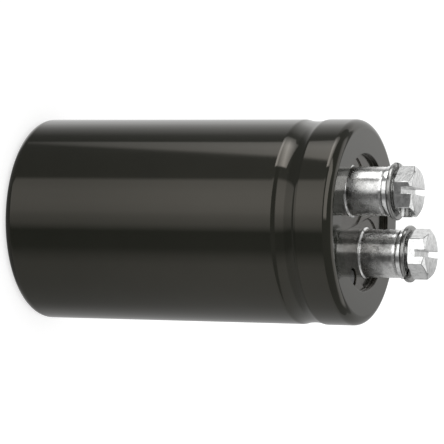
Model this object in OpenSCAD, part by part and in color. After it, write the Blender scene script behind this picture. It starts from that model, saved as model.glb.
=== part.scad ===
// Screw-terminal electrolytic capacitor. It stands on its base, +Z up, and the
// origin is the centre of the base. The two terminals lie on the X axis.

/* [Case] */
// Diameter over the sleeve, on the straight side
case_d = 36; // [35:0.5:50]
// Height from the base to the top of the rim
case_h = 61.7; // [52:0.1:105]
// Thickness of the shrunk sleeve
sleeve_t = 0.3; // [0.2:0.05:0.5]
// Width of the sleeve's lip turned in under the base
base_lap = 4.5; // [2.5:0.1:8]
// Wall of the drawn can
wall_t = 0.5; // [0.3:0.05:0.7]
// Thickness of the can's base
can_base_t = 0.9; // [0.5:0.1:1.5]
// Outside radius of the can where its wall meets its base
base_round = 1.7; // [0.8:0.1:2.5]
// Radius by which the band above the bead is larger
band_swell = 0.02; // [0:0.01:0.15]

/* [Bead and rim] */
// Distance from the rim down to the middle of the bead
bead_drop = 8.85; // [8.6:0.05:11]
// Width of the bead at the surface of the sleeve
bead_w = 4.8; // [3.4:0.1:5]
// Depth of the bead
bead_depth = 0.35; // [0.25:0.05:0.8]
// Height over which each side of the bead rolls in
bead_run = 1.1; // [0.6:0.05:1.4]
// Outside radius of the can's shoulder at the rim
rim_round = 1.4; // [1.1:0.05:1.8]
// Width of the can's rim from its outside to the curled edge
curl_w = 4.2; // [3.8:0.05:4.7]
// Outside radius of the curled edge
curl_round = 0.8; // [0.7:0.05:1.2]
// Length of the edge that is turned down into the gasket
curl_leg = 1.6; // [1.3:0.05:2]

/* [Cover] */
// Depth of the round recess below the rim
recess_depth = 0.85; // [0.6:0.05:1.3]
// Width of the raised land around the recess
land_w = 1.3; // [0.8:0.05:1.8]
// Thickness of the flange that sits on the bead
flange_t = 3.5; // [2.5:0.1:3.9]
// Depth of the spigot below the flange
spigot_h = 1.6; // [1:0.1:3]
// Diameter of the shallow pocket around each terminal
pocket_d = 12.05; // [11.5:0.05:13]
// Depth of those pockets
pocket_depth = 0.25; // [0.1:0.05:0.5]
// Diameter of the vent's mouth
vent_d = 3.3; // [2.6:0.1:3.6]
// Depth of the vent's mouth
vent_depth = 1.5; // [1:0.1:2]
// Diameter of the vent plug's stem
vent_stem_d = 2.2; // [1.6:0.1:2.4]
// Thickness of the head of the vent plug
vent_head_t = 1.3; // [0.8:0.1:1.4]
// Width of the vent plug's lip under the cover
vent_lip = 0.35; // [0.2:0.05:0.4]
// Wall left between the vent's mouth and the side of the recess
vent_edge = 0.2; // [0.1:0.05:1]
// Direction of the vent, from the first terminal
vent_angle = 124.8; // [100:0.1:135]

/* [Terminals] */
// Distance between the two terminals
pitch = 13.25; // [13:0.05:14.5]
// Diameter of the posts
post_d = 8.5; // [7.6:0.1:9]
// Height of the posts above the rim
post_h = 5.65; // [3:0.05:9]
// Length of the taper at the end of a post
post_taper = 0.5; // [0.3:0.1:1.5]
// Radius that the taper takes off
post_taper_cut = 0.3; // [0.1:0.05:0.5]
// Diameter of the foot of a post
foot_d = 9.2; // [9:0.1:10]
// Height of that foot
foot_h = 0.3; // [0.2:0.05:0.8]
// Across-flats size of the hexagon moulded into the cover
anchor_af = 10; // [9.5:0.1:11]
// Thickness of that hexagon
anchor_t = 1.5; // [1:0.1:1.8]
// Thickness of moulding over that hexagon
anchor_cover = 1.6; // [1.4:0.1:2]
// Depth of the tapped hole
tap_depth = 9; // [8.6:0.1:10]
// Diameter of the shank below the hexagon
shank_d = 5.4; // [4.6:0.1:6.5]
// Diameter of the spigot that is riveted over
rivet_d = 3; // [2.4:0.1:3.6]
// Diameter of the riveted head
rivet_head_d = 4.2; // [4:0.1:4.8]
// Thickness of the riveted head
rivet_head_t = 0.5; // [0.4:0.05:0.8]

/* [Screws and washers] */
// Thread diameter
thread_d = 5; // [4:0.5:5]
// Length of the screw under its head
screw_l = 10; // [7:0.5:10.5]
// Across-flats size of the head
head_af = 7.8; // [7.4:0.1:8.6]
// Height of the head
head_h = 3.5; // [2.8:0.1:4.5]
// Diameter of the round face under the head
face_d = 7; // [6.4:0.1:7.4]
// Height of that face
face_h = 0.35; // [0.2:0.05:0.6]
// Width of the chamfer around the crown of the head
crown_w = 0.85; // [0.5:0.05:1.2]
// Chamfer at the tip of the screw
tip_chamfer = 0.5; // [0.2:0.1:0.8]
// Width of the driver slot
slot_w = 1.1; // [0.8:0.1:1.6]
// Depth of the driver slot
slot_depth = 1.8; // [1:0.1:2.2]
// Diameter of the flat washer
washer_d = 8.8; // [8.6:0.1:12]
// Thickness of the flat washer
washer_t = 1; // [0.6:0.1:1.5]
// Diameter of the spring washer
spring_d = 10; // [8.6:0.1:10.5]
// Thickness of the spring washer
spring_t = 0.8; // [0.6:0.1:1.6]
// Width of the split in the spring washer
spring_gap = 0.7; // [0.4:0.1:1.2]
// Slant of that split
split_slant = 25; // [0:1:40]
// Direction of a corner of the first head
corner_1 = 32.85; // [0:0.05:60]
// Direction of a corner of the second head
corner_2 = 17.35; // [0:0.05:60]
// Direction of the first driver slot
slot_1 = 51.35; // [0:0.05:180]
// Direction of the second driver slot
slot_2 = 51.35; // [0:0.05:180]
// Direction of the split in the first spring washer
split_1 = 335; // [0:1:360]
// Direction of the split in the second spring washer
split_2 = 110; // [0:1:360]

/* [Winding] */
// Diameter of the hole left by the winding mandrel
core_d = 4; // [2:0.1:6]
// Room between the winding and the wall of the can
winding_gap = 0.9; // [0.6:0.1:2]
// Room between the top of the winding and the bead
winding_drop = 2; // [1:0.1:5]
// Distance between the lines of the turns on its ends
turn_pitch = 1.2; // [0.8:0.1:2]
// Width and depth of those lines
turn_cut = 0.25; // [0.1:0.05:0.4]
// Thickness of the closing tape
tape_t = 0.1; // [0.05:0.01:0.2]
// Length of winding left bare at each end of the tape
tape_margin = 8; // [3:0.5:15]
// Thickness of the insulating discs
disc_t = 0.3; // [0.2:0.05:0.6]
// Thickness of the connecting tabs
tab_t = 0.25; // [0.15:0.05:0.4]
// Width of the connecting tabs
tab_w = 5.5; // [5:0.1:6.5]
// Reach of a tab outwards from its rivet
tab_reach = 3.9; // [3.4:0.1:5]
// Inside radius of the bend in a tab
tab_bend = 0.7; // [0.4:0.1:1.2]
// Depth to which a tab runs down between the turns
tab_depth = 6; // [2:0.5:15]
// Thickness of the washer under a riveted head
rivet_washer_t = 0.8; // [0.5:0.1:1]

/* [Hidden] */

$fn = 96;

// Named clearances
fit_clear = 0.1;      // cover and gasket inside the can
spigot_clear = 0.3;   // spigot of the cover past the bead
curl_clear = 0.2;     // curled edge beside the land
tab_clear = 0.15;     // tab in its slots
thread_clear = 0.05;  // screw in its tapped hole
hole_clear = 0.15;    // washers around the screw
rivet_clear = 0.05;   // tab and washer around the riveted spigot

// Radii of the case, from the outside in
case_r = case_d / 2;
can_r = case_r - sleeve_t;
cavity_r = can_r - wall_t;
bead_inner_r = cavity_r - bead_depth;
curl_inner_r = can_r + band_swell - curl_w;
land_r = curl_inner_r - curl_clear;
recess_r = land_r - land_w;

// Levels, from the base up
can_z = sleeve_t + disc_t;
cavity_z = can_z + can_base_t;
rim_z = case_h;
lip_z = rim_z - sleeve_t;
floor_z = rim_z - recess_depth;
pocket_z = floor_z - pocket_depth;
bead_z = rim_z - bead_drop;
post_z = rim_z + post_h;

// The bead is a little wider on the can than on the sleeve, and wider again
// inside the can, so that sleeve and wall keep their thickness on its sides
can_bead_w = bead_w + 2 * sleeve_t * bead_depth / bead_run;
inner_bead_w = can_bead_w + 2 * wall_t * bead_depth / bead_run;
seat_z = bead_z + inner_bead_w / 2 - bead_run;
flange_z = seat_z + flange_t;
spigot_z = seat_z - spigot_h;
spigot_r = bead_inner_r - spigot_clear;

// Rounds that follow the thickness of the can
cavity_round = max(base_round - wall_t, 0.3);
rim_inner_round = rim_round - wall_t;
curl_inner_round = curl_round - wall_t;

// Terminal, below the recess
anchor_z = pocket_z - anchor_cover - anchor_t;
anchor_r = anchor_af / 2 / cos(30);
tap_point = thread_d / 2 / tan(59);
terminal_end = spigot_z;
tab_z = terminal_end - tab_t;
rivet_washer_z = tab_z - rivet_washer_t;
rivet_end = rivet_washer_z - rivet_head_t;

// Screw stack on a post
spring_z = post_z + washer_t;
head_z = spring_z + spring_t;
head_r = head_af / 2 / cos(30);

// Winding
winding_r = cavity_r - winding_gap;
winding_z = cavity_z + disc_t;
winding_top = bead_z - inner_bead_w / 2 - winding_drop;
leg_x = pitch / 2 + tab_reach;

// Vent
vent_r = recess_r - vent_edge - vent_d / 2;
vent_stem_r = vent_stem_d / 2;
vent_seat_z = floor_z - vent_depth;
vent_end = spigot_z - 3 * vent_lip;

// Half section of a can closed at both ends: its straight side, its upper band,
// the round at its base and the round at its rim
module case_section(r, z0, z1, round_0, round_1) {
  band_r = r + band_swell;
  translate([0, z0]) square([r - round_0, z1 - z0]);
  translate([0, z0 + round_0]) square([r, bead_z - z0 - round_0]);
  translate([r - round_0, z0 + round_0]) circle(round_0);
  translate([0, bead_z]) square([band_r, z1 - round_1 - bead_z]);
  translate([0, bead_z]) square([band_r - round_1, z1 - bead_z]);
  translate([band_r - round_1, z1 - round_1]) circle(round_1);
}

// Half section of one rolled side of the bead: two equal arcs that meet in the
// middle lead from the surface at x = 0 down to x = -depth, then the start of the
// floor, so that side and floor overlap
module bead_side(depth) {
  arc_r = (depth * depth + bead_run * bead_run) / (4 * depth);
  difference() {
    translate([-arc_r, 0]) square([arc_r + 1, bead_run / 2]);
    translate([-arc_r, 0]) circle(arc_r);
  }
  translate([arc_r - depth, bead_run / 2]) square([depth - arc_r + 1, bead_run / 2]);
  intersection() {
    translate([arc_r - depth, bead_run]) circle(arc_r);
    translate([-depth, bead_run / 2]) square([2 * arc_r, bead_run / 2]);
  }
  translate([-depth, bead_run]) square([depth + 1, bead_run / 4]);
}

// Half section of the rolled bead, as cut out of a surface of radius r
module bead_section(r, width) {
  floor_w = width - 2 * bead_run;
  translate([r - bead_depth, bead_z - floor_w / 2]) square([bead_depth + 1, floor_w]);
  translate([r, bead_z - width / 2]) bead_side(bead_depth);
  translate([r + band_swell, bead_z + width / 2]) mirror([0, 1])
    bead_side(bead_depth + band_swell);
}

// Half section of the room inside the can, up to the step of the cover
module cavity_section() {
  difference() {
    union() {
      translate([0, cavity_z]) square([cavity_r - cavity_round, bead_z - cavity_z]);
      translate([0, cavity_z + cavity_round])
        square([cavity_r, bead_z - cavity_z - cavity_round]);
      translate([cavity_r - cavity_round, cavity_z + cavity_round]) circle(cavity_round);
      translate([0, bead_z]) square([cavity_r + band_swell, flange_z - bead_z]);
    }
    bead_section(cavity_r, inner_bead_w);
  }
}

// Half section of the room under the curled rim, which the gasket fills
module rim_section() {
  outer = cavity_r + band_swell;
  inner = curl_inner_r + wall_t;
  middle = (inner + outer) / 2;
  top = lip_z - wall_t;
  translate([inner, flange_z])
    square([middle - inner, top - curl_inner_round - flange_z]);
  translate([middle, flange_z])
    square([outer - middle, top - rim_inner_round - flange_z]);
  translate([inner + curl_inner_round, flange_z])
    square([outer - rim_inner_round - inner - curl_inner_round, top - flange_z]);
  translate([outer - rim_inner_round, top - rim_inner_round]) circle(rim_inner_round);
  translate([inner + curl_inner_round, top - curl_inner_round]) circle(curl_inner_round);
}

// Can: drawn from one blank, beaded under the cover and curled over its rim
module can() {
  color("silver") rotate_extrude() difference() {
    case_section(can_r, can_z, lip_z, base_round, rim_round);
    bead_section(can_r, can_bead_w);
    cavity_section();
    rim_section();
    translate([0, flange_z])
      square([curl_inner_r + wall_t, lip_z - curl_leg - flange_z]);
    translate([0, flange_z])
      square([curl_inner_r, lip_z + 1 - flange_z]);
    difference() {
      translate([curl_inner_r - 1, lip_z - curl_round]) square(curl_round + 1);
      translate([curl_inner_r + curl_round, lip_z - curl_round]) circle(curl_round);
    }
  }
}

// Sleeve: shrunk over the can, under its base and over its rim up to the recess,
// with a softened edge at both ends
module sleeve() {
  lap_r = case_r - base_lap;
  edge = sleeve_t / 2;
  color([0.09, 0.09, 0.09]) rotate_extrude() {
    difference() {
      case_section(case_r, 0, rim_z, base_round + sleeve_t, rim_round + sleeve_t);
      bead_section(case_r, bead_w);
      difference() {
        case_section(can_r, sleeve_t, lip_z, base_round, rim_round);
        bead_section(can_r, can_bead_w);
      }
      translate([0, -1]) square([lap_r + edge, sleeve_t + 2]);
      translate([0, lip_z - 1]) square([recess_r + edge, sleeve_t + 2]);
    }
    translate([lap_r + edge, edge]) circle(edge);
    translate([recess_r + edge, lip_z + edge]) circle(edge);
  }
}

// Base disc: keeps the bare base of the can away from what it stands on
module base_disc() {
  color([0.16, 0.16, 0.17]) translate([0, 0, sleeve_t])
    cylinder(h = disc_t, r = can_r - base_round - fit_clear);
}

// Cover: moulded disc with a flange on the bead, a step for the gasket, a land
// around the recess, pockets for the terminals and a seat for the vent plug
module cover_section() {
  translate([0, spigot_z]) square([spigot_r, seat_z - spigot_z]);
  intersection() {
    translate([0, seat_z]) square([cavity_r - fit_clear, flange_t]);
    cavity_section();
  }
  translate([0, seat_z]) square([recess_r, floor_z - seat_z]);
  translate([recess_r, seat_z]) square([land_w, lip_z - seat_z]);
}

module cover() {
  color([0.13, 0.13, 0.13]) difference() {
    rotate_extrude() cover_section();
    intersection() {
      cylinder(h = rim_z, r = recess_r);
      for (side = [0, 180]) rotate(side) translate([pitch / 2, 0, pocket_z])
        cylinder(h = pocket_depth + 1, d = pocket_d);
    }
    for (side = [0, 180]) rotate(side) terminal_body();
    rotate(vent_angle) translate([vent_r, 0, 0]) {
      translate([0, 0, vent_seat_z]) cylinder(h = vent_depth + 1, d = vent_d);
      translate([0, 0, spigot_z - 1]) cylinder(h = floor_z, r = vent_stem_r);
    }
  }
}

// Gasket: rubber ring on the step of the cover, squeezed by the curled rim
module gasket() {
  leg_z = lip_z - curl_leg;
  color([0.11, 0.11, 0.12]) rotate_extrude() {
    rim_section();
    translate([land_r + fit_clear, flange_z])
      square([curl_inner_r + rim_round - land_r - fit_clear, leg_z - flange_z]);
  }
}

// Vent plug: rubber, its head in the mouth and its lip under the cover
module vent_plug() {
  plug_r = vent_d / 2 - fit_clear;
  plug_z = vent_seat_z + vent_head_t;
  color([0.2, 0.2, 0.21]) rotate(vent_angle) translate([vent_r, 0, 0])
    rotate_extrude() polygon([
      [0, vent_end],
      [vent_stem_r, vent_end],
      [vent_stem_r + vent_lip, spigot_z],
      [vent_stem_r, spigot_z],
      [vent_stem_r, vent_seat_z],
      [plug_r, vent_seat_z],
      [plug_r, plug_z - vent_lip],
      [plug_r - vent_lip, plug_z],
      [0, plug_z]
    ]);
}

// Terminal: turned post with a foot, a hexagon that locks it in the moulding,
// a shank, and a spigot riveted over the tab and its washer
module terminal_body() {
  translate([pitch / 2, 0, 0]) {
    rotate_extrude() polygon([
      [0, rivet_end],
      [rivet_d / 2, rivet_end],
      [rivet_head_d / 2, rivet_end + rivet_head_t / 2],
      [rivet_head_d / 2, rivet_washer_z],
      [rivet_d / 2, rivet_washer_z],
      [rivet_d / 2, terminal_end],
      [shank_d / 2, terminal_end],
      [shank_d / 2, anchor_z],
      [post_d / 2, anchor_z],
      [post_d / 2, pocket_z],
      [foot_d / 2, pocket_z],
      [foot_d / 2, pocket_z + foot_h / 3],
      [post_d / 2, pocket_z + foot_h],
      [post_d / 2, post_z - post_taper],
      [post_d / 2 - post_taper_cut, post_z],
      [0, post_z]
    ]);
    translate([0, 0, anchor_z]) rotate(30) cylinder(h = anchor_t, r = anchor_r, $fn = 6);
  }
}

module terminal(side) {
  color([0.82, 0.83, 0.84]) rotate(side) difference() {
    terminal_body();
    translate([pitch / 2, 0, post_z - tap_depth]) {
      cylinder(h = tap_depth + 1, d = thread_d);
      translate([0, 0, -tap_point]) cylinder(h = tap_point, r1 = 0, r2 = thread_d / 2);
    }
  }
}

// Flat washer: stamped, with one rounded edge
module flat_washer(side) {
  edge = washer_t / 4;
  color([0.78, 0.79, 0.8]) rotate(side) translate([pitch / 2, 0, post_z])
    rotate_extrude() {
      bore_r = thread_d / 2 + hole_clear;
      translate([bore_r, 0]) square([washer_d / 2 - edge - bore_r, washer_t]);
      translate([bore_r, 0]) square([washer_d / 2 - bore_r, washer_t - edge]);
      translate([washer_d / 2 - edge, washer_t - edge]) circle(edge);
    }
}

// Spring washer: split ring of square section, the split cut on a slant
module spring_washer(side, split) {
  color([0.7, 0.71, 0.72]) rotate(side) translate([pitch / 2, 0, spring_z])
    difference() {
      cylinder(h = spring_t, d = spring_d);
      translate([0, 0, -1]) cylinder(h = spring_t + 2, r = thread_d / 2 + hole_clear);
      rotate(split - side) translate([0, 0, spring_t / 2]) rotate([split_slant, 0, 0])
        translate([0, -spring_gap / 2, -spring_t])
          cube([spring_d, spring_gap, 2 * spring_t]);
    }
}

// Screw: hexagon head with a chamfered crown and a driver slot, plain shank in
// place of the thread
module screw(side, corner_dir, slot_dir) {
  base_cut = (head_r - head_af / 2) / 2;
  shank_r = thread_d / 2 - thread_clear;
  color([0.75, 0.76, 0.77]) rotate(side) translate([pitch / 2, 0, head_z])
    rotate(corner_dir - side) {
      difference() {
        intersection() {
          cylinder(h = head_h, r = head_r, $fn = 6);
          rotate_extrude() polygon([
            [0, 0],
            [face_d / 2, 0],
            [face_d / 2, face_h],
            [head_r - base_cut, face_h],
            [head_r, face_h + base_cut * tan(30)],
            [head_r, head_h - crown_w * tan(30)],
            [head_r - crown_w, head_h],
            [0, head_h]
          ]);
        }
        rotate(slot_dir - corner_dir) translate([-head_r, -slot_w / 2, head_h - slot_depth])
          cube([2 * head_r, slot_w, slot_depth + 1]);
      }
      rotate_extrude() polygon([
        [0, -screw_l],
        [shank_r - tip_chamfer, -screw_l],
        [shank_r, -screw_l + tip_chamfer],
        [shank_r, 0],
        [0, 0]
      ]);
    }
}

// Tab: strip of foil metal from the turns up to the foot of a terminal
module tab(side) {
  bend_r = tab_bend + tab_t;
  color([0.85, 0.86, 0.87]) rotate(side) difference() {
    union() {
      translate([leg_x, -tab_w / 2, winding_top - tab_depth])
        cube([tab_t, tab_w, terminal_end - bend_r - winding_top + tab_depth]);
      intersection() {
        translate([leg_x + tab_t - bend_r, tab_w / 2, terminal_end - bend_r])
          rotate([90, 0, 0]) difference() {
            cylinder(h = tab_w, r = bend_r);
            translate([0, 0, -1]) cylinder(h = tab_w + 2, r = tab_bend);
          }
        translate([leg_x + tab_t - bend_r, -tab_w, terminal_end - bend_r])
          cube([bend_r, 2 * tab_w, bend_r]);
      }
      translate([pitch / 2, -tab_w / 2, tab_z])
        cube([leg_x + tab_t - bend_r - pitch / 2, tab_w, tab_t]);
      translate([pitch / 2, 0, tab_z]) cylinder(h = tab_t, d = tab_w);
    }
    translate([pitch / 2, 0, tab_z - 1]) cylinder(h = tab_t + 2, r = rivet_d / 2 + rivet_clear);
  }
}

module rivet_washer(side) {
  color([0.8, 0.81, 0.82]) rotate(side) translate([pitch / 2, 0, rivet_washer_z])
    difference() {
      cylinder(h = rivet_washer_t, d = tab_w);
      translate([0, 0, -1]) cylinder(h = rivet_washer_t + 2, r = rivet_d / 2 + rivet_clear);
    }
}

// Slots that the tabs take in the winding and in the disc on top of it
module tab_slots() {
  for (side = [0, 180]) rotate(side)
    translate([leg_x - tab_clear, -tab_w / 2 - tab_clear, winding_top - tab_depth])
      cube([tab_t + 2 * tab_clear, tab_w + 2 * tab_clear, tab_depth + 1]);
}

// Winding: foils and paper rolled on a mandrel, the turns showing at its ends
module winding() {
  turns = floor((winding_r - core_d / 2) / turn_pitch) - 1;
  color([0.8, 0.76, 0.66]) difference() {
    translate([0, 0, winding_z]) cylinder(h = winding_top - winding_z, r = winding_r);
    translate([0, 0, winding_z - 1]) cylinder(h = winding_top, d = core_d);
    rotate_extrude() for (i = [1 : turns], z = [winding_z - turn_cut, winding_top - turn_cut])
      translate([core_d / 2 + i * turn_pitch, z]) square([turn_cut, 2 * turn_cut]);
    tab_slots();
  }
}

// Winding tape: closes the last turn
module winding_tape() {
  color([0.72, 0.62, 0.42]) translate([0, 0, winding_z + tape_margin]) difference() {
    cylinder(h = winding_top - winding_z - 2 * tape_margin, r = winding_r + tape_t);
    translate([0, 0, -1]) cylinder(h = winding_top, r = winding_r);
  }
}

// Upper disc: insulates the top of the winding, the tabs pass through it
module upper_disc() {
  color([0.86, 0.83, 0.74]) difference() {
    translate([0, 0, winding_top]) cylinder(h = disc_t, r = winding_r);
    tab_slots();
  }
}

// Lower disc: insulates the winding from the base of the can
module lower_disc() {
  color([0.86, 0.83, 0.74]) translate([0, 0, cavity_z])
    cylinder(h = disc_t, r = cavity_r - cavity_round - fit_clear);
}

can();
sleeve();
base_disc();
cover();
gasket();
vent_plug();
terminal(0);  // terminal_1
terminal(180);  // terminal_2
flat_washer(0);  // flat_washer_1
flat_washer(180);  // flat_washer_2
spring_washer(0, split_1);  // spring_washer_1
spring_washer(180, split_2);  // spring_washer_2
screw(0, corner_1, slot_1);  // screw_1
screw(180, corner_2, slot_2);  // screw_2
tab(0);  // tab_1
tab(180);  // tab_2
rivet_washer(0);  // rivet_washer_1
rivet_washer(180);  // rivet_washer_2
winding();
winding_tape();
upper_disc();
lower_disc();
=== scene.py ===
import math

import bmesh
import bpy
from bpy.props import FloatProperty, FloatVectorProperty, PointerProperty
from mathutils import Matrix, Vector


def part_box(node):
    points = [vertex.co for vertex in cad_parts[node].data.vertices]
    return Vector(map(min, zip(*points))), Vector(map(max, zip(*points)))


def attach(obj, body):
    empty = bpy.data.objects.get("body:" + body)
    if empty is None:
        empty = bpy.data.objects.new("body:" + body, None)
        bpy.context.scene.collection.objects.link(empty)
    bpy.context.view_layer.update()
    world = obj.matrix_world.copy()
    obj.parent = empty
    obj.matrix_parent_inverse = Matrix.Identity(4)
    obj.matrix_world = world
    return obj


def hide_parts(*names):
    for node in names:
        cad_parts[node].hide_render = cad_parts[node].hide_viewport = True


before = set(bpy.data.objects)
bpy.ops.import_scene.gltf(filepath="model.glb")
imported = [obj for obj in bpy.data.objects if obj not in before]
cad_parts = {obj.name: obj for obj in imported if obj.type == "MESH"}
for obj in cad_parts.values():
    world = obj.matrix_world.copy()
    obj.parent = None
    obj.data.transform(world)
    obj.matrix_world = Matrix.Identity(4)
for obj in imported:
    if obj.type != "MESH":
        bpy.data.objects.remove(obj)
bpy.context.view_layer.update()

bl_info = {
    "name": "Screw-terminal capacitor",
    "version": (1, 0, 0),
    "blender": (4, 5, 0),
    "location": "3D View > Sidebar > Capacitor",
    "description": "Dresses the packed capacitor: sleeve, cover, terminals, screws, stage",
    "category": "Object",
}

MM = 0.001

# Levels and places that the packed model gives
RIM_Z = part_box("sleeve")[1].z
LIP_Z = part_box("cover")[1].z
SPIGOT_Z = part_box("cover")[0].z
RIVET_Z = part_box("terminal_1")[0].z
POST_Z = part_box("flat_washer_1")[0].z
SPRING_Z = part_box("spring_washer_1")[0].z
HEAD_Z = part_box("spring_washer_1")[1].z
HEAD_TOP_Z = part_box("screw_1")[1].z
SCREW_END_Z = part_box("screw_1")[0].z
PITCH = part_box("flat_washer_1")[0].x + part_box("flat_washer_1")[1].x
SIDES = {"1": 1, "2": -1}

# The black plastics: how strongly they mirror, and the tint of what they mirror
PLASTIC_IOR = 1.55
FILM_SHINE = (1.0, 0.93, 0.83)
MOULDING_SHINE = (1.0, 0.88, 0.72)

# Nearly all values of a noise lie between these two
NOISE_LOW = 0.3
NOISE_HIGH = 0.7

# How finely round shapes are divided
FULL_TURN = 2 * math.pi
CASE_STEPS = 256
SMALL_STEPS = 128
ROUND_STEPS = 10

# Points nearer than this are merged: on the axis of a turned solid, after a cut, and after
# a cut on the screws
AXIS_WELD = 0.0001 * MM
FINE_WELD = 0.002 * MM
SCREW_WELD = 0.02 * MM

# How far a cutting shape reaches past what it cuts, and the height of a cutting box
PAST = 1 * MM
BOX_HEIGHT = 4 * MM

# How far a screw's shank reaches into its head before the two are joined
SHANK_OVERLAP = 0.1 * MM

# From the middle of a hexagon's flat to its corner
HALF_SIXTH = math.radians(30)

# Slant of the chamfers on the hexagon heads
CHAMFER = math.radians(30)

# Rounds of the film: at its free edges, as a share of its thickness, and what the round in
# the middle of the bead leaves to those at the bead's edges, as a share of their size
FILM_EDGE = 0.45
BEAD_EDGE_ROOM = 1.1


def length(name, description, value):
    """A size in metres, for a settings group."""
    return FloatProperty(name=name, description=description, default=value, min=0,
                         subtype="DISTANCE", unit="LENGTH", precision=5)


def turn(name, description, degrees):
    """An angle, for a settings group."""
    return FloatProperty(name=name, description=description, default=math.radians(degrees),
                         subtype="ANGLE", unit="ROTATION")


def colour(name, description, value):
    """A colour, for a settings group."""
    return FloatVectorProperty(name=name, description=description, default=value, size=3,
                               min=0, max=1, subtype="COLOR")


class CaseSettings(bpy.types.PropertyGroup):
    """Sizes and colour of the sleeved can"""
    radius: length("Radius", "Outside of the sleeve on its straight side", 18 * MM)
    film: length("Film", "Thickness of the sleeve", 0.3 * MM)
    base_round: length("Base round", "Round of the sleeve at the base", 2 * MM)
    rim_round: length("Rim round", "Round of the sleeve at the rim", 1.7 * MM)
    swell: length("Swell", "Growth of the band above the bead", 0.02 * MM)
    bead_drop: length("Bead drop", "From the rim to the middle of the bead", 8.65 * MM)
    bead_width: length("Bead width", "Width of the bead", 4.4 * MM)
    bead_depth: length("Bead depth", "Depth of the bead", 0.35 * MM)
    bead_edge: length("Bead edge", "Length of the round at each edge of the bead", 0.25 * MM)
    bead_run: length("Bead run", "Height of the slope inside the bead", 1.1 * MM)
    base_lip: length("Base lip", "Inner radius of the lip under the base", 13.5 * MM)
    mouth: length("Mouth", "Radius of the opening over the recess", 12.02 * MM)
    film_colour: colour("Film colour", "Colour of the sleeve", (0.0104, 0.0115, 0.0082))


class CoverSettings(bpy.types.PropertyGroup):
    """Sizes and colour of the moulded cover"""
    recess: length("Recess", "Depth of the recess below the rim", 0.85 * MM)
    flange: length("Flange", "Radius of the flange", 17.1 * MM)
    flange_height: length("Flange height", "Thickness of the flange", 3.5 * MM)
    seat: length("Seat", "Radius of the flange where it sits on the bead", 16.85 * MM)
    spigot: length("Spigot", "Radius of the spigot", 16.55 * MM)
    spigot_height: length("Spigot height", "Depth of the spigot", 1.6 * MM)
    land: length("Land", "Outer radius of the raised land", 13.32 * MM)
    pocket: length("Pocket", "Radius of the pocket around a terminal", 6.025 * MM)
    pocket_depth: length("Pocket depth", "Depth of the pockets", 0.25 * MM)
    vent: length("Vent", "Radius of the vent's mouth", 1.65 * MM)
    vent_depth: length("Vent depth", "Depth of the vent's mouth", 1.5 * MM)
    vent_stem: length("Vent stem", "Radius of the hole for the vent plug", 1.1 * MM)
    vent_place: length("Vent place", "From the middle to the vent", 10.17 * MM)
    vent_turn: turn("Vent turn", "Direction of the vent", 124.8)
    edge: length("Edge", "Softening of the moulded edges", 0.09 * MM)
    moulding_colour: colour("Moulding colour", "Colour of the cover", (0.010, 0.0105, 0.0085))


class TerminalSettings(bpy.types.PropertyGroup):
    """Sizes and colour of the terminals"""
    post: length("Post", "Radius of a post", 4.25 * MM)
    taper: length("Taper", "Length of the taper at its end", 0.5 * MM)
    taper_cut: length("Taper cut", "Radius that the taper takes off", 0.3 * MM)
    foot: length("Foot", "Radius of the foot", 4.6 * MM)
    foot_height: length("Foot height", "Height of the foot", 0.3 * MM)
    anchor: length("Anchor", "Across-flats size of the hidden hexagon", 10 * MM)
    anchor_height: length("Anchor height", "Thickness of that hexagon", 1.5 * MM)
    anchor_cover: length("Anchor cover", "Moulding over that hexagon", 1.6 * MM)
    shank: length("Shank", "Radius below the hexagon", 2.7 * MM)
    rivet: length("Rivet", "Radius of the riveted spigot", 1.5 * MM)
    rivet_head: length("Rivet head", "Radius of the riveted head", 2.1 * MM)
    rivet_head_height: length("Rivet head height", "Thickness of the riveted head", 0.5 * MM)
    tap: length("Tap", "Radius of the tapped hole", 2.5 * MM)
    tap_depth: length("Tap depth", "Depth of the tapped hole", 9 * MM)
    tap_point: length("Tap point", "Depth of the drill's point below it", 1.5 * MM)
    aluminium: colour("Aluminium", "Colour of the posts", (0.88, 0.88, 0.87))


class ScrewSettings(bpy.types.PropertyGroup):
    """Sizes and colour of the screws and washers"""
    across_flats: length("Across flats", "Width of the hexagon head", 7.8 * MM)
    crown: length("Crown", "Width of the chamfer around the head", 0.85 * MM)
    face: length("Face", "Radius of the round face under the head", 3.5 * MM)
    face_height: length("Face height", "Height of that face", 0.35 * MM)
    corner_1: turn("Corner 1", "Direction of a corner of the first head", 32.85)
    corner_2: turn("Corner 2", "Direction of a corner of the second head", 17.35)
    slot_turn: turn("Slot turn", "Direction of both driver slots", 51.35)
    slot_width: length("Slot width", "Width of the driver slot", 1.1 * MM)
    slot_depth: length("Slot depth", "Depth of the driver slot", 1.8 * MM)
    shank: length("Shank", "Radius of the plain shank that stands for the thread", 2.45 * MM)
    shank_end: length("Shank end", "Radius of its chamfered end", 2.05 * MM)
    washer: length("Washer", "Radius of the flat washer", 4.4 * MM)
    spring: length("Spring washer", "Radius of the spring washer", 5 * MM)
    bore: length("Bore", "Radius of the hole in both washers", 2.65 * MM)
    split_gap: length("Split", "Width of the split", 0.7 * MM)
    split_slant: turn("Split slant", "Slant of the split", 25)
    split_1: turn("Split 1", "Direction of the first split", 335)
    split_2: turn("Split 2", "Direction of the second split", 110)
    edge: length("Edge", "Softening of the screw's edges", 0.08 * MM)
    plating: colour("Plating", "Colour of the bright zinc plate", (0.82, 0.825, 0.82))


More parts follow.
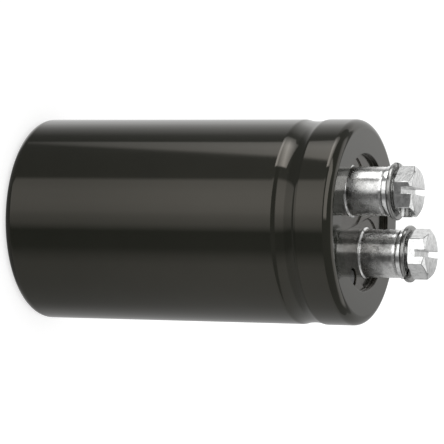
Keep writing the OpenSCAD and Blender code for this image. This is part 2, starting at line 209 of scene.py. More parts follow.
class StageSettings(bpy.types.PropertyGroup):
    """The camera and the light around the part"""
    aim: FloatVectorProperty(name="Aim", description="Point that the camera looks at", size=3,
                             default=(-0.2 * MM, 0.14 * MM, 34.73 * MM), subtype="TRANSLATION")
    distance: length("Distance", "From the camera to that point", 514.58 * MM)
    azimuth: turn("Azimuth", "Direction of the camera from the axis", 54.57)
    elevation: turn("Elevation", "Height angle of the camera", 22.265)
    roll: turn("Roll", "Turn of the camera, so that the terminals point right", 90.742)
    lens: FloatProperty(name="Lens", description="Focal length in millimetres", default=234.5)
    daylight: FloatProperty(name="Light", description="Plain light on the part", default=0.85)


SETTINGS = {
    "capacitor_case": CaseSettings,
    "capacitor_cover": CoverSettings,
    "capacitor_terminal": TerminalSettings,
    "capacitor_screw": ScrewSettings,
    "capacitor_stage": StageSettings,
}


def outline(corners, closed=True):
    """A mesh in the XZ plane through corners of (radius, height, size of its round)."""
    bm = bmesh.new()
    verts = [bm.verts.new((r, 0, z)) for r, z, _ in corners]
    pairs = list(zip(verts, verts[1:]))
    if closed:
        pairs.append((verts[-1], verts[0]))
    for pair in pairs:
        bm.edges.new(pair)
    for vert, corner in zip(verts, corners):
        if corner[2]:
            bmesh.ops.bevel(bm, geom=[vert], offset=corner[2], offset_type="OFFSET",
                            segments=ROUND_STEPS, profile=0.5, affect="VERTICES", material=-1)
    return bm


def lathe(corners, steps, closed=True):
    """A solid turned about the Z axis from an outline."""
    bm = outline(corners, closed)
    bmesh.ops.spin(bm, geom=bm.verts[:] + bm.edges[:], cent=(0, 0, 0), axis=(0, 0, 1),
                   angle=FULL_TURN, steps=steps, use_merge=True)
    bmesh.ops.remove_doubles(bm, verts=bm.verts, dist=AXIS_WELD)
    bmesh.ops.recalc_face_normals(bm, faces=bm.faces)
    return bm


def cylinder(radius, low, high, steps=SMALL_STEPS, at=(0, 0), spin=0.0):
    """A plain cylinder between two heights, used to cut or to build up."""
    bm = bmesh.new()
    place = Matrix.Translation((at[0], at[1], (low + high) / 2)) @ Matrix.Rotation(spin, 4, "Z")
    bmesh.ops.create_cone(bm, cap_ends=True, cap_tris=False, segments=steps, radius1=radius,
                          radius2=radius, depth=high - low, matrix=place)
    return bm


def hexagon(across_flats, low, high, corner=0.0, at=(0, 0)):
    """A hexagonal prism with one of its corners in a direction from +X."""
    return cylinder(across_flats / 2 / math.cos(HALF_SIXTH), low, high, 6, at,
                    spin=corner - math.radians(90))


def mesh_object(name, bm):
    """Turns a bmesh into an object in the scene and frees it."""
    mesh = bpy.data.meshes.new(name)
    bm.to_mesh(mesh)
    bm.free()
    piece = bpy.data.objects.new(name, mesh)
    bpy.context.scene.collection.objects.link(piece)
    return piece


def settle(piece):
    """Applies the modifiers of a piece to its mesh."""
    graph = bpy.context.evaluated_depsgraph_get()
    made = bpy.data.meshes.new_from_object(piece.evaluated_get(graph))
    old = piece.data
    piece.modifiers.clear()
    piece.data = made
    bpy.data.meshes.remove(old)
    made.name = piece.name


def taken_mesh(piece):
    """The mesh of a helper object as a bmesh; the object goes."""
    bm = bmesh.new()
    bm.from_mesh(piece.data)
    bpy.data.meshes.remove(piece.data)
    return bm


def combine(piece, bm, operation="DIFFERENCE", weld=FINE_WELD):
    """Cuts another solid out of a piece, adds it, or keeps what they share."""
    tool = mesh_object("tool", bm)
    step = piece.modifiers.new("combine", "BOOLEAN")
    step.operation = operation
    step.solver = "EXACT"
    step.object = tool
    settle(piece)
    bpy.data.meshes.remove(tool.data)
    merged = bmesh.new()
    merged.from_mesh(piece.data)
    bmesh.ops.remove_doubles(merged, verts=merged.verts, dist=weld)
    bmesh.ops.dissolve_degenerate(merged, edges=merged.edges, dist=weld)
    merged.to_mesh(piece.data)
    merged.free()


def soften(piece, width, angle=35):
    """Rounds the sharp edges of a piece a little, as tumbling or moulding does."""
    bevel = piece.modifiers.new("soften", "BEVEL")
    bevel.width = width
    bevel.segments = 2
    bevel.profile = 0.5
    bevel.limit_method = "ANGLE"
    bevel.angle_limit = math.radians(angle)
    bevel.material = -1
    bevel.use_clamp_overlap = False


def dress(piece, material, slot, *nodes, sharp=40):
    """Smooth shading, material and body of a finished piece."""
    mesh = piece.data
    mesh.name = piece.name
    mesh.polygons.foreach_set("use_smooth", [True] * len(mesh.polygons))
    mesh.set_sharp_from_angle(angle=math.radians(sharp))
    even = piece.modifiers.new("even", "WEIGHTED_NORMAL")
    even.keep_sharp = True
    mesh.materials.clear()
    mesh.materials.append(material)
    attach(piece, "root")
    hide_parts(*nodes)


class Finish:
    """A node material with a Principled shader, built up step by step."""

    def __init__(self, name, base, metallic=0.0, ior=1.5, shine=(1, 1, 1)):
        self.material = bpy.data.materials.new(name)
        self.material.use_nodes = True
        self.tree = self.material.node_tree
        self.shader = self.tree.nodes["Principled BSDF"]
        self.place = self.add("ShaderNodeTexCoord").outputs["Object"]
        self.shader.inputs["Base Color"].default_value = (*base, 1)
        self.shader.inputs["Metallic"].default_value = metallic
        self.shader.inputs["IOR"].default_value = ior
        self.shader.inputs["Specular Tint"].default_value = (*shine, 1)

    def add(self, kind, **inputs):
        """A node with some of its inputs set or linked."""
        node = self.tree.nodes.new(kind)
        for name, value in inputs.items():
            socket = node.inputs[name.replace("_", " ")]
            if isinstance(value, bpy.types.NodeSocket):
                self.tree.links.new(value, socket)
            else:
                socket.default_value = value
        return node

    def stretched(self, x, y, z):
        """Object coordinates scaled along each axis."""
        return self.add("ShaderNodeMapping", Vector=self.place, Scale=(x, y, z)).outputs[0]

    def noise(self, size, detail=3.0, rough=0.5, where=None):
        """Noise whose features are about one size, in metres."""
        node = self.add("ShaderNodeTexNoise", Vector=where or self.place, Scale=1 / size,
                        Detail=detail, Roughness=rough)
        return node.outputs["Fac"]

    def ramp(self, value, stops):
        """A colour ramp through stops of (place, grey)."""
        node = self.add("ShaderNodeValToRGB", Fac=value)
        elements = node.color_ramp.elements
        for spare in list(elements)[1:]:
            elements.remove(spare)
        elements[0].position, grey = stops[0]
        elements[0].color = (grey, grey, grey, 1)
        for position, grey in stops[1:]:
            elements.new(position).color = (grey, grey, grey, 1)
        return node.outputs["Color"]

    def between(self, value, low, high):
        """A noise mapped to a range, for roughness."""
        node = self.add("ShaderNodeMapRange", Value=value)
        node.inputs["From Min"].default_value = NOISE_LOW
        node.inputs["From Max"].default_value = NOISE_HIGH
        node.inputs["To Min"].default_value = low
        node.inputs["To Max"].default_value = high
        return node.outputs[0]

    def tint(self, factor, first, second):
        """The base colour goes from the first to the second colour with a factor."""
        node = self.tree.nodes.new("ShaderNodeMix")
        node.data_type = "RGBA"
        self.tree.links.new(factor, node.inputs["Factor"])
        node.inputs["A"].default_value = (*first, 1)
        node.inputs["B"].default_value = (*second, 1)
        colours = [s for s in node.outputs if s.type == "RGBA"]
        self.tree.links.new(colours[0], self.shader.inputs["Base Color"])

    def roughen(self, value):
        """Links the roughness."""
        self.tree.links.new(value, self.shader.inputs["Roughness"])

    def bump(self, *layers):
        """Bump from layers of (height, depth in metres)."""
        normal = None
        for height, depth in layers:
            node = self.add("ShaderNodeBump", Height=height, Distance=depth, Strength=1.0)
            if normal:
                self.tree.links.new(normal, node.inputs["Normal"])
            normal = node.outputs[0]
        self.tree.links.new(normal, self.shader.inputs["Normal"])


def film_finish(base):
    """Glossy black shrink film: faint orange peel, streaks along the can and soft scuffs."""
    f = Finish("black_film", base, ior=PLASTIC_IOR, shine=FILM_SHINE)
    peel = f.noise(2.5 * MM, detail=2)
    streak = f.noise(1.2 * MM, detail=3, where=f.stretched(1, 1, 0.05))
    f.roughen(f.between(streak, 0.04, 0.08))
    f.tint(f.noise(6 * MM), base, [c * 1.4 for c in base])
    f.bump((peel, 0.0012 * MM), (streak, 0.0006 * MM))
    return f.material


def moulding_finish(base):
    """Glossy moulded cover: fine grain and faint rubbing."""
    f = Finish("black_moulding", base, ior=PLASTIC_IOR, shine=MOULDING_SHINE)
    grain = f.noise(0.5 * MM, detail=4)
    rub = f.noise(3 * MM, detail=5, rough=0.6)
    f.roughen(f.between(rub, 0.12, 0.2))
    f.tint(rub, base, [c * 1.5 for c in base])
    f.bump((grain, 0.001 * MM))
    return f.material


def turned_finish(base):
    """Turned aluminium: fine rings from the tool, a few stained patches."""
    f = Finish("turned_aluminium", base, metallic=1.0)
    rings = f.noise(0.3 * MM, detail=3, where=f.stretched(0.05, 0.05, 1))
    stain = f.noise(1.6 * MM, detail=6, rough=0.65)
    around = f.tree.nodes.new("ShaderNodeTangent")
    around.direction_type = "RADIAL"
    around.axis = "Z"
    f.tree.links.new(around.outputs[0], f.shader.inputs["Tangent"])
    f.shader.inputs["Anisotropic"].default_value = 0.85
    f.shader.inputs["Anisotropic Rotation"].default_value = 0.25
    f.roughen(f.between(stain, 0.2, 0.32))
    f.tint(f.ramp(stain, [(0.34, 0.0), (0.52, 1.0)]), [c * 0.55 for c in base], base)
    f.bump((rings, 0.004 * MM))
    return f.material


def plated_finish(base):
    """Bright zinc plate on steel: faint crystals, rubbed patches and small pits."""
    f = Finish("zinc_plate", base, metallic=1.0)
    cloud = f.noise(0.9 * MM, detail=6, rough=0.7)
    pits = f.noise(0.45 * MM, detail=1)
    f.roughen(f.between(cloud, 0.07, 0.16))
    f.tint(f.ramp(cloud, [(0.38, 0.0), (0.56, 1.0)]), [c * 0.72 for c in base], base)
    f.bump((pits, 0.004 * MM))
    return f.material


def spring_finish():
    """Plate on the spring washers: darker than the zinc plate, and rubbed at random."""
    f = Finish("spring_steel", (0.35, 0.35, 0.34), metallic=1.0)
    rub = f.noise(0.8 * MM, detail=5, rough=0.6)
    f.roughen(f.between(rub, 0.14, 0.28))
    f.tint(rub, (0.2, 0.2, 0.195), (0.48, 0.48, 0.47))
    f.bump((rub, 0.003 * MM))
    return f.material


def rubber_finish(name, smooth, matt):
    """Black rubber with a fine grain, between two levels of roughness."""
    f = Finish(name, (0.014, 0.014, 0.013))
    grain = f.noise(0.3 * MM, detail=4)
    f.roughen(f.between(grain, smooth, matt))
    f.bump((grain, 0.003 * MM))
    return f.material


def drawn_finish():
    """Drawn aluminium of the can: streaks along its axis."""
    f = Finish("drawn_aluminium", (0.8, 0.8, 0.8), metallic=1.0)
    streak = f.noise(0.4 * MM, detail=4, where=f.stretched(1, 1, 0.03))
    f.roughen(f.between(streak, 0.22, 0.42))
    f.bump((streak, 0.004 * MM))
    return f.material


def strip_finish():
    """Rolled aluminium strip of the tabs and their washers."""
    f = Finish("rolled_strip", (0.84, 0.84, 0.84), metallic=1.0)
    grain = f.noise(0.3 * MM, detail=4, where=f.stretched(1, 1, 0.1))
    f.roughen(f.between(grain, 0.28, 0.48))
    f.bump((grain, 0.004 * MM))
    return f.material


def paper_finish(name, base, grain_size):
    """Soaked paper: fibres and cloudy tone."""
    f = Finish(name, base)
    fibre = f.noise(grain_size, detail=6, rough=0.65)
    f.tint(f.noise(4 * MM), [c * 0.85 for c in base], base)
    f.roughen(f.between(fibre, 0.75, 0.95))
    f.bump((fibre, 0.02 * MM))
    return f.material


def tape_finish():
    """Adhesive tape over the last turn: slightly glossy, faint creases."""
    f = Finish("tape", (0.62, 0.5, 0.28))
    crease = f.noise(1.5 * MM, detail=4, where=f.stretched(1, 1, 0.3))
    f.roughen(f.between(crease, 0.25, 0.5))
    f.bump((crease, 0.01 * MM))
    return f.material


def board_finish():
    """Dark insulating board under the can."""
    f = Finish("insulating_board", (0.04, 0.04, 0.042))
    grain = f.noise(0.5 * MM, detail=5)
    f.roughen(f.between(grain, 0.5, 0.75))
    f.bump((grain, 0.01 * MM))
    return f.material


def skin(case, inset):
    """Corners of the case at a depth below the outside of the sleeve."""
    r = case.radius - inset
    band = r + case.swell
    bead_z = RIM_Z - case.bead_drop
    half = case.bead_width / 2
    side = math.hypot(half, 2 * case.bead_depth) - BEAD_EDGE_ROOM * case.bead_edge
    return [
        (r, inset, case.base_round - inset),
        (r, bead_z - half, case.bead_edge),
        (r - 2 * case.bead_depth, bead_z, side),
        (band, bead_z + half, case.bead_edge),
        (band, RIM_Z - inset, case.rim_round - inset),
    ]


class CAPACITOR_OT_sleeve(bpy.types.Operator):
    """Shrunk sleeve: a closed skin from the lip under the base to the mouth of the recess"""
    bl_idname = "capacitor.sleeve"
    bl_label = "Sleeve"

    def execute(self, context):
        case = context.scene.capacitor_case
        edge = FILM_EDGE * case.film
        corners = [(case.base_lip, 0, edge)]
        corners += skin(case, 0)
        corners += [(case.mouth, RIM_Z, edge), (case.mouth, LIP_Z, edge)]
        corners += reversed(skin(case, case.film))
        corners += [(case.base_lip, case.film, edge)]
        sleeve = mesh_object("shrunk_sleeve", lathe(corners, CASE_STEPS))
        dress(sleeve, film_finish(case.film_colour), "sleeve", "sleeve", sharp=60)
        return {"FINISHED"}


class CAPACITOR_OT_cover(bpy.types.Operator):
    """Moulded cover: recess, land, flange and spigot, with the pockets and holes cut in it"""
    bl_idname = "capacitor.cover"
    bl_label = "Cover"

    def execute(self, context):
        case = context.scene.capacitor_case
        cover = context.scene.capacitor_cover
        post = context.scene.capacitor_terminal
        floor_z = RIM_Z - cover.recess
        pocket_z = floor_z - cover.pocket_depth
        anchor_z = pocket_z - post.anchor_cover - post.anchor_height
        seat_z = SPIGOT_Z + cover.spigot_height
        piece = mesh_object("moulded_cover", lathe([
            (0, SPIGOT_Z, 0),
            (cover.spigot, SPIGOT_Z, 0),
            (cover.spigot, seat_z, 0),
            (cover.seat, seat_z, 0),
            (cover.flange, seat_z + case.bead_run, 0),
            (cover.flange, seat_z + cover.flange_height, 0),
            (cover.land, seat_z + cover.flange_height, 0),
            (cover.land, LIP_Z, 0),
            (case.mouth, LIP_Z, 0),
            (case.mouth, floor_z, 0),
            (0, floor_z, 0),
        ], CASE_STEPS, closed=False))
        for side in SIDES.values():
            middle = (side * PITCH / 2, 0)
            pocket = mesh_object("pocket", cylinder(cover.pocket, pocket_z, RIM_Z, at=middle))
            recess = cylinder(case.mouth, pocket_z - PAST, RIM_Z + PAST, CASE_STEPS)
            combine(pocket, recess, "INTERSECT")
            combine(piece, taken_mesh(pocket))
            combine(piece, cylinder(post.shank, SPIGOT_Z - PAST, RIM_Z, at=middle))
            combine(piece, cylinder(post.post, anchor_z, RIM_Z, at=middle))
            combine(piece, hexagon(post.anchor, anchor_z, anchor_z + post.anchor_height,
                                   HALF_SIXTH, middle))
        vent_z = floor_z - cover.vent_depth
        vent_at = (cover.vent_place * math.cos(cover.vent_turn),
                   cover.vent_place * math.sin(cover.vent_turn))
        vent_steps = SMALL_STEPS // 2
        combine(piece, cylinder(cover.vent, vent_z, RIM_Z, vent_steps, at=vent_at))
        combine(piece, cylinder(cover.vent_stem, SPIGOT_Z - PAST, RIM_Z, vent_steps, at=vent_at))
        soften(piece, cover.edge)
        dress(piece, moulding_finish(cover.moulding_colour), "cover", "cover")
        return {"FINISHED"}


class CAPACITOR_OT_terminals(bpy.types.Operator):
    """Turned terminals: post, foot, hidden hexagon, shank, riveted end and tapped hole"""
    bl_idname = "capacitor.terminals"
    bl_label = "Terminals"

    def execute(self, context):
        t = context.scene.capacitor_terminal
        cover = context.scene.capacitor_cover
        pocket_z = RIM_Z - cover.recess - cover.pocket_depth
        anchor_z = pocket_z - t.anchor_cover - t.anchor_height
        head_z = RIVET_Z + t.rivet_head_height
        tap_z = POST_Z - t.tap_depth
        finish = turned_finish(t.aluminium)
        for name, side in SIDES.items():
            place = Matrix.Translation((side * PITCH / 2, 0, 0))
            piece = mesh_object(f"turned_terminal_{name}", lathe([
                (0, RIVET_Z, 0),
                (t.rivet, RIVET_Z, 0),
                (t.rivet_head, RIVET_Z + t.rivet_head_height / 2, 0.1 * MM),
                (t.rivet_head, head_z, 0),
                (t.rivet, head_z, 0),
                (t.rivet, SPIGOT_Z, 0),
                (t.shank, SPIGOT_Z, 0),
                (t.shank, anchor_z, 0),
                (t.post, anchor_z, 0),
                (t.post, pocket_z, 0),
                (t.foot, pocket_z, 0),
                (t.foot, pocket_z + t.foot_height / 3, 0.06 * MM),
                (t.post, pocket_z + t.foot_height, 0.08 * MM),
                (t.post, POST_Z - t.taper, 0.2 * MM),
                (t.post - t.taper_cut, POST_Z, 0.12 * MM),
                (0, POST_Z, 0),
            ], SMALL_STEPS, closed=False))
            anchor = hexagon(t.anchor, anchor_z, anchor_z + t.anchor_height, HALF_SIXTH)
            combine(piece, anchor, "UNION")
            combine(piece, lathe([
                (0, tap_z - t.tap_point, 0),
                (t.tap, tap_z, 0),
                (t.tap, POST_Z + PAST, 0),
                (0, POST_Z + PAST, 0),
            ], SMALL_STEPS, closed=False))
            piece.data.transform(place)
            dress(piece, finish, "terminal", f"terminal_{name}", sharp=50)
            settle(piece)
        return {"FINISHED"}


class CAPACITOR_OT_flat_washers(bpy.types.Operator):
    """Stamped flat washers: rolled upper edge, sharper lower edge"""
    bl_idname = "capacitor.flat_washers"
    bl_label = "Flat washers"

    def execute(self, context):
        s = context.scene.capacitor_screw
        finish = bpy.data.materials.get("zinc_plate") or plated_finish(s.plating)
        for name, side in SIDES.items():
            piece = mesh_object(f"stamped_washer_{name}", lathe([
                (s.bore, POST_Z, 0.06 * MM),
                (s.washer, POST_Z, 0.12 * MM),
                (s.washer, SPRING_Z, 0.3 * MM),
                (s.bore, SPRING_Z, 0.12 * MM),
            ], SMALL_STEPS))
            piece.data.transform(Matrix.Translation((side * PITCH / 2, 0, 0)))
            dress(piece, finish, "plated_steel", f"flat_washer_{name}", sharp=60)
        return {"FINISHED"}


class CAPACITOR_OT_spring_washers(bpy.types.Operator):
    """Split spring washers: a square wire bent to a ring, its two ends cut on a slant"""
    bl_idname = "capacitor.spring_washers"
    bl_label = "Spring washers"

    def execute(self, context):
        s = context.scene.capacitor_screw
        finish = spring_finish()
        for name, side in SIDES.items():
            piece = mesh_object(f"split_washer_{name}", lathe([
                (s.bore, SPRING_Z, 0.15 * MM),
                (s.spring, SPRING_Z, 0.25 * MM),
                (s.spring, HEAD_Z, 0.25 * MM),
                (s.bore, HEAD_Z, 0.15 * MM),
            ], SMALL_STEPS))
            split = bmesh.new()
            bmesh.ops.create_cube(split, size=1, matrix=(
                Matrix.Translation((0, 0, (SPRING_Z + HEAD_Z) / 2))
                @ Matrix.Rotation(getattr(s, f"split_{name}"), 4, "Z")
                @ Matrix.Rotation(s.split_slant, 4, "X")
                @ Matrix.Translation((s.spring, 0, 0))
                @ Matrix.Diagonal((2 * s.spring, s.split_gap, BOX_HEIGHT, 1))))
            combine(piece, split)
            piece.data.transform(Matrix.Translation((side * PITCH / 2, 0, 0)))
            dress(piece, finish, "plated_steel", f"spring_washer_{name}", sharp=60)
        return {"FINISHED"}


class CAPACITOR_OT_screws(bpy.types.Operator):
    """Hexagon screws: chamfered crown, driver slot and a plain shank"""
    bl_idname = "capacitor.screws"
    bl_label = "Screws"

    def execute(self, context):
        s = context.scene.capacitor_screw
        finish = bpy.data.materials.get("zinc_plate") or plated_finish(s.plating)
        corner_r = s.across_flats / 2 / math.cos(HALF_SIXTH)
        corner = corner_r - s.across_flats / 2
        slope = math.tan(CHAMFER)
        face_z = HEAD_Z + s.face_height
        for name, side in SIDES.items():
            spin = getattr(s, f"corner_{name}")
            piece = mesh_object(f"hexagon_screw_{name}", lathe([
                (0, HEAD_Z, 0),
                (s.face, HEAD_Z, 0),
                (s.face, face_z, 0),
                (corner_r - corner / 2, face_z, 0),
                (corner_r, face_z + corner / 2 * slope, 0),
                (corner_r, HEAD_TOP_Z - s.crown * slope, 0),
                (corner_r - s.crown, HEAD_TOP_Z, 0),
                (0, HEAD_TOP_Z, 0),
            ], SMALL_STEPS, closed=False))
            head = hexagon(s.across_flats, HEAD_Z - PAST, HEAD_TOP_Z + PAST, spin)
            combine(piece, head, "INTERSECT", SCREW_WELD)
            slot = bmesh.new()
            bmesh.ops.create_cube(slot, size=1, matrix=(
                Matrix.Rotation(s.slot_turn, 4, "Z")
                @ Matrix.Translation((0, 0, HEAD_TOP_Z - s.slot_depth + BOX_HEIGHT / 2))
                @ Matrix.Diagonal((4 * corner_r, s.slot_width, BOX_HEIGHT, 1))))
            combine(piece, slot, "DIFFERENCE", SCREW_WELD)
            combine(piece, lathe([
                (0, SCREW_END_Z, 0),
                (s.shank_end, SCREW_END_Z, 0),
                (s.shank, SCREW_END_Z + s.shank - s.shank_end, 0),
                (s.shank, HEAD_Z + SHANK_OVERLAP, 0),
                (0, HEAD_Z + SHANK_OVERLAP, 0),
            ], SMALL_STEPS, closed=False), "UNION", SCREW_WELD)
            piece.data.transform(Matrix.Translation((side * PITCH / 2, 0, 0)))
            soften(piece, s.edge, angle=22)
            dress(piece, finish, "plated_steel", f"screw_{name}", sharp=35)
        return {"FINISHED"}


class CAPACITOR_OT_inside(bpy.types.Operator):
    """Finishes of the pieces that keep their packed shape, inside the can and under it"""
    bl_idname = "capacitor.inside"
    bl_label = "Inside"

    def execute(self, context):
        strip = strip_finish()
        board = paper_finish("pressed_board", (0.72, 0.66, 0.5), 0.4 * MM)
        finishes = {
            "can": drawn_finish(),
            "base_disc": board_finish(),
            "gasket": rubber_finish("black_rubber", 0.5, 0.75),
            "vent_plug": rubber_finish("smooth_rubber", 0.15, 0.25),
            "winding": paper_finish("wound_paper", (0.66, 0.58, 0.42), 0.25 * MM),
            "winding_tape": tape_finish(),
            "upper_disc": board,
            "lower_disc": board,
            "tab_1": strip,
            "tab_2": strip,
            "rivet_washer_1": strip,
            "rivet_washer_2": strip,
        }
        for name, finish in finishes.items():
            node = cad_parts[name]
            if not node.material_slots:
                node.data.materials.append(None)
            for slot in node.material_slots:
                slot.link = "OBJECT"
                slot.material = finish
        return {"FINISHED"}


# The surroundings, as the part mirrors them. Angles are in degrees: around goes from the
# camera upwards in the picture, above goes from the horizon up. A step is (start, end), a
# box is (low, high, softness), a line is (slope, value at 0), and levels are shares of white.
BEHIND_STEP = (115, 140)
DIM_LEVEL = 0.25

# Soft boxes and flags in a ring around the part, as (around, level)
RING = [
    (-180, 0.75), (-176, 0.52), (-144, 0.5), (-112, 0.47), (-84, 0.56), (-62, 0.63), (-51, 0.62),
    (-42, 0.46), (-36, 0.29), (-32, 0.19), (-13, 0.17), (-9, 0.5), (-5, 0.8), (4, 1.06),
    (10, 1.37), (20, 1.52), (32, 1.5), (45, 1.27), (49, 0.36), (60, 0.33), (105, 0.25),
    (112, 0.29), (120, 0.57), (135, 0.93), (145, 1.15), (154, 1.05), (165, 0.93), (176, 0.93),
    (180, 0.75),
]

RING_TOP_IN_FRONT = 0
RING_TOP_BEHIND = 28
RING_TOP_STEP = (2, -2)
RING_FOOT_STEP = (-52, -47)

# In front, the ring gets lighter with height, between two limits
RING_RISE = (0.088, 2.995)
RING_RISE_LIMITS = (0.76, 1.04)

# A wide soft box over the camera
SOFT_BOX_ABOVE = (14, 50, 2)
SOFT_BOX_AROUND = (4, 75, 3)
SOFT_BOX_LEVEL = 2.2

# A lighter ceiling behind the part
CEILING_ABOVE = (36, 74, 3)
CEILING_LEVEL = 1.1

# A slanted soft box above the picture, whose far edge moves with height
WEDGE_ABOVE = (-50, 14, 3)
WEDGE_SLANT = 3.8
WEDGE_SLANT_STEP = (-5.5, 0.5)
WEDGE_NEAR_STEP = (61, 64)
WEDGE_FAR_LINE = (2, 142.6)
WEDGE_FAR_LIMITS = (100, 106)
WEDGE_FAR_STEP = (1.5, -1.5)

# Its level: rising, then falling with height, and weaker at its far edge
GLARE_RISE = (0.25, 7.0)
GLARE_FALL = (-0.16, 3.2)
GLARE_FAR_STEP = (90, 107)
GLARE_FAR_MOST = 0.9

# What only the camera sees is white
CAMERA_LEVEL = 1.0

# The floor: grey for the light, lifted for the camera, so that it is white but keeps a shadow
FLOOR_HALF_SIZE = 4
FLOOR_DROP = 0.02 * MM
FLOOR_GREY = 0.6
FLOOR_LIFT = 0.65


class Surroundings:
    """Node maths for the light around the part, told apart by direction."""

    def __init__(self, world, azimuth):
        world.use_nodes = True
        world.cycles.sampling_method = "NONE"
        self.nodes, self.links = world.node_tree.nodes, world.node_tree.links
        self.nodes.clear()
        where = self.nodes.new("ShaderNodeTexCoord").outputs["Generated"]
        turned = self.nodes.new("ShaderNodeMapping")
        turned.inputs["Rotation"].default_value = (0, 0, -azimuth)
        self.links.new(where, turned.inputs["Vector"])
        gradient = self.nodes.new("ShaderNodeTexGradient")
        gradient.gradient_type = "RADIAL"
        self.links.new(turned.outputs[0], gradient.inputs["Vector"])
        split = self.nodes.new("ShaderNodeSeparateXYZ")
        self.links.new(where, split.inputs[0])
        self.turn_share = gradient.outputs["Fac"]
        self.around = self.maths("MULTIPLY", self.maths("SUBTRACT", 0.5, self.turn_share), 360)
        self.above = self.maths("DEGREES", self.maths("ARCSINE", split.outputs["Z"]))

    def maths(self, operation, *values):
        """A Math node over values and sockets."""
        node = self.nodes.new("ShaderNodeMath")
        node.operation = operation
        for socket, value in zip(node.inputs, values):
            if isinstance(value, bpy.types.NodeSocket):
                self.links.new(value, socket)
            else:
                socket.default_value = value
        return node.outputs[0]

    def step(self, value, low, high):
        """A soft step from 0 at the low value to 1 at the high one."""
        node = self.nodes.new("ShaderNodeMapRange")
        node.interpolation_type = "SMOOTHSTEP"
        self.links.new(value, node.inputs["Value"])
        node.inputs["From Min"].default_value = low
        node.inputs["From Max"].default_value = high
        return node.outputs[0]

    def box(self, value, low, high, soft):
        """1 between two values and 0 outside, with soft ends."""
        rise = self.step(value, low - soft, low + soft)
        return self.maths("MULTIPLY", rise, self.step(value, high + soft, high - soft))

    def line(self, value, slope, start):
        """A straight line over a value."""
        return self.maths("MULTIPLY_ADD", value, slope, start)

    def limit(self, value, least, most):
        """A value kept between two limits."""
        return self.maths("MINIMUM", self.maths("MAXIMUM", value, least), most)

    def mix(self, factor, first, second):
        """From the first level to the second one with a factor."""
        more = self.maths("SUBTRACT", second, first)
        return self.maths("MULTIPLY_ADD", factor, more, first)

    def ring(self, stops):
        """Level from stops of (degrees, level) around the part."""
        ramp = self.nodes.new("ShaderNodeValToRGB")
        self.links.new(self.turn_share, ramp.inputs["Fac"])
        elements = ramp.color_ramp.elements
        elements.remove(elements[1])
        peak = max(level for _, level in stops)
        places = sorted((0.5 - degrees / 360, level / peak) for degrees, level in stops)
        elements[0].position, level = places[0]
        elements[0].color = (level, level, level, 1)
        for position, level in places[1:]:
            elements.new(position).color = (level, level, level, 1)
        return self.maths("MULTIPLY", ramp.outputs["Color"], peak)

    def glow(self, strength):
        """A white background at a level."""
        node = self.nodes.new("ShaderNodeBackground")
        node.inputs["Color"].default_value = (1, 1, 1, 1)
        if isinstance(strength, bpy.types.NodeSocket):
            self.links.new(strength, node.inputs["Strength"])
        else:
            node.inputs["Strength"].default_value = strength
        return node.outputs[0]

    def choose(self, ray, first, second):
        """The first light, or the second one for one kind of ray."""
        path = self.nodes.new("ShaderNodeLightPath")
        node = self.nodes.new("ShaderNodeMixShader")
        self.links.new(path.outputs[ray], node.inputs["Fac"])
        self.links.new(first, node.inputs[1])
        self.links.new(second, node.inputs[2])
        return node.outputs[0]


def ring_place(sky, behind):
    """Where the ring is: between its foot and its top, which is higher behind the part."""
    top = sky.mix(behind, RING_TOP_IN_FRONT, RING_TOP_BEHIND)
    height = sky.maths("SUBTRACT", sky.above, top)
    return sky.maths("MULTIPLY", sky.step(height, *RING_TOP_STEP),
                     sky.step(sky.above, *RING_FOOT_STEP))


def ring_level(sky, behind):
    """Level of the ring, lighter with height in front of the part."""
    rise = sky.limit(sky.line(sky.above, *RING_RISE), *RING_RISE_LIMITS)
    return sky.maths("MULTIPLY", sky.ring(RING), sky.mix(behind, rise, 1))


def dome_level(sky, behind):
    """Level over the ring: the soft box in front, the ceiling behind, and dim between."""
    over = sky.maths("MULTIPLY", sky.box(sky.above, *SOFT_BOX_ABOVE),
                     sky.box(sky.around, *SOFT_BOX_AROUND))
    front = sky.mix(over, DIM_LEVEL, SOFT_BOX_LEVEL)
    back = sky.mix(sky.box(sky.above, *CEILING_ABOVE), DIM_LEVEL, CEILING_LEVEL)
    return sky.mix(behind, front, back)


def wedge_place(sky):
    """Where the slanted soft box is."""
    slant = sky.maths("MULTIPLY_ADD", sky.above, WEDGE_SLANT, sky.around)
    far_edge = sky.limit(sky.line(sky.above, *WEDGE_FAR_LINE), *WEDGE_FAR_LIMITS)
    past = sky.maths("SUBTRACT", sky.around, far_edge)
    place = sky.maths("MULTIPLY", sky.step(slant, *WEDGE_SLANT_STEP),
                      sky.step(sky.around, *WEDGE_NEAR_STEP))
    place = sky.maths("MULTIPLY", place, sky.step(past, *WEDGE_FAR_STEP))
    return sky.maths("MULTIPLY", place, sky.box(sky.above, *WEDGE_ABOVE))


def wedge_level(sky):
    """Level of the slanted soft box."""
    glare = sky.maths("MINIMUM", sky.line(sky.above, *GLARE_RISE), sky.line(sky.above, *GLARE_FALL))
    faded = sky.maths("MINIMUM", glare, GLARE_FAR_MOST)
    return sky.mix(sky.step(sky.around, *GLARE_FAR_STEP), glare, faded)


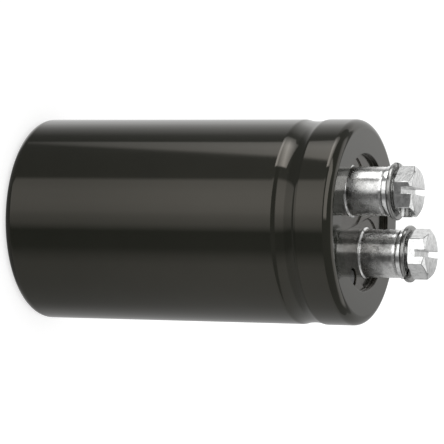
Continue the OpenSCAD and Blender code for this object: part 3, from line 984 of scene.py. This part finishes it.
class CAPACITOR_OT_stage(bpy.types.Operator):
    """White floor, soft surroundings and the camera"""
    bl_idname = "capacitor.stage"
    bl_label = "Stage"

    def execute(self, context):
        stage = context.scene.capacitor_stage
        context.scene.view_settings.view_transform = "Standard"
        self.make_camera(context, stage)
        self.make_surroundings(context, stage)
        self.make_floor()
        return {"FINISHED"}

    def make_camera(self, context, stage):
        camera = bpy.data.objects.new("camera", bpy.data.cameras.new("camera"))
        context.scene.collection.objects.link(camera)
        context.scene.camera = camera
        camera.data.lens = stage.lens
        camera.data.clip_start = 0.05
        camera.data.clip_end = 20
        away = Vector((math.cos(stage.azimuth) * math.cos(stage.elevation),
                       math.sin(stage.azimuth) * math.cos(stage.elevation),
                       math.sin(stage.elevation)))
        turned = (-away).to_track_quat("-Z", "Y").to_matrix().to_4x4()
        place = Vector(stage.aim) + away * stage.distance
        camera.matrix_world = (Matrix.Translation(place) @ turned
                               @ Matrix.Rotation(stage.roll, 4, "Z"))

    def make_surroundings(self, context, stage):
        world = bpy.data.worlds.new("surroundings")
        context.scene.world = world
        sky = Surroundings(world, stage.azimuth)
        behind = sky.step(sky.maths("ABSOLUTE", sky.around), *BEHIND_STEP)
        level = sky.mix(ring_place(sky, behind), dome_level(sky, behind), ring_level(sky, behind))
        level = sky.mix(wedge_place(sky), level, wedge_level(sky))
        light = sky.choose("Is Glossy Ray", sky.glow(stage.daylight), sky.glow(level))
        light = sky.choose("Is Camera Ray", light, sky.glow(CAMERA_LEVEL))
        output = sky.nodes.new("ShaderNodeOutputWorld")
        sky.links.new(light, output.inputs["Surface"])

    def make_floor(self):
        bm = bmesh.new()
        bmesh.ops.create_grid(bm, x_segments=1, y_segments=1, size=FLOOR_HALF_SIZE,
                              matrix=Matrix.Translation((0, 0, -FLOOR_DROP)))
        floor = mesh_object("floor", bm)
        floor.visible_glossy = False
        material = bpy.data.materials.new("white_floor")
        material.use_nodes = True
        tree = material.node_tree
        shader = tree.nodes["Principled BSDF"]
        shader.inputs["Base Color"].default_value = (FLOOR_GREY, FLOOR_GREY, FLOOR_GREY, 1)
        shader.inputs["Roughness"].default_value = 1
        shader.inputs["Specular IOR Level"].default_value = 0
        path = tree.nodes.new("ShaderNodeLightPath")
        lift = tree.nodes.new("ShaderNodeMath")
        lift.operation = "MULTIPLY"
        lift.inputs[1].default_value = FLOOR_LIFT
        tree.links.new(path.outputs["Is Camera Ray"], lift.inputs[0])
        shader.inputs["Emission Color"].default_value = (1, 1, 1, 1)
        tree.links.new(lift.outputs[0], shader.inputs["Emission Strength"])
        floor.data.materials.append(material)


class CAPACITOR_PT_panel(bpy.types.Panel):
    """The capacitor's settings, and a button for each of its pieces"""
    bl_idname = "CAPACITOR_PT_panel"
    bl_label = "Capacitor"
    bl_space_type = "VIEW_3D"
    bl_region_type = "UI"
    bl_category = "Capacitor"

    def draw(self, context):
        layout = self.layout
        for operator in OPERATORS:
            layout.operator(operator.bl_idname)
        for name, group in SETTINGS.items():
            box = layout.box()
            box.label(text=group.__doc__)
            settings = getattr(context.scene, name)
            for prop in group.__annotations__:
                box.prop(settings, prop)


OPERATORS = (
    CAPACITOR_OT_sleeve,
    CAPACITOR_OT_cover,
    CAPACITOR_OT_terminals,
    CAPACITOR_OT_flat_washers,
    CAPACITOR_OT_spring_washers,
    CAPACITOR_OT_screws,
    CAPACITOR_OT_inside,
    CAPACITOR_OT_stage,
)


def register():
    for group in SETTINGS.values():
        bpy.utils.register_class(group)
    for cls in (*OPERATORS, CAPACITOR_PT_panel):
        bpy.utils.register_class(cls)
    for name, group in SETTINGS.items():
        setattr(bpy.types.Scene, name, PointerProperty(type=group))


def unregister():
    for name in SETTINGS:
        delattr(bpy.types.Scene, name)
    for cls in (CAPACITOR_PT_panel, *reversed(OPERATORS)):
        bpy.utils.unregister_class(cls)
    for group in reversed(list(SETTINGS.values())):
        bpy.utils.unregister_class(group)


def main():
    register()
    bpy.ops.capacitor.sleeve()
    bpy.ops.capacitor.cover()
    bpy.ops.capacitor.terminals()
    bpy.ops.capacitor.flat_washers()
    bpy.ops.capacitor.spring_washers()
    bpy.ops.capacitor.screws()
    bpy.ops.capacitor.inside()
    bpy.ops.capacitor.stage()


if __name__ == "__main__":
    main()
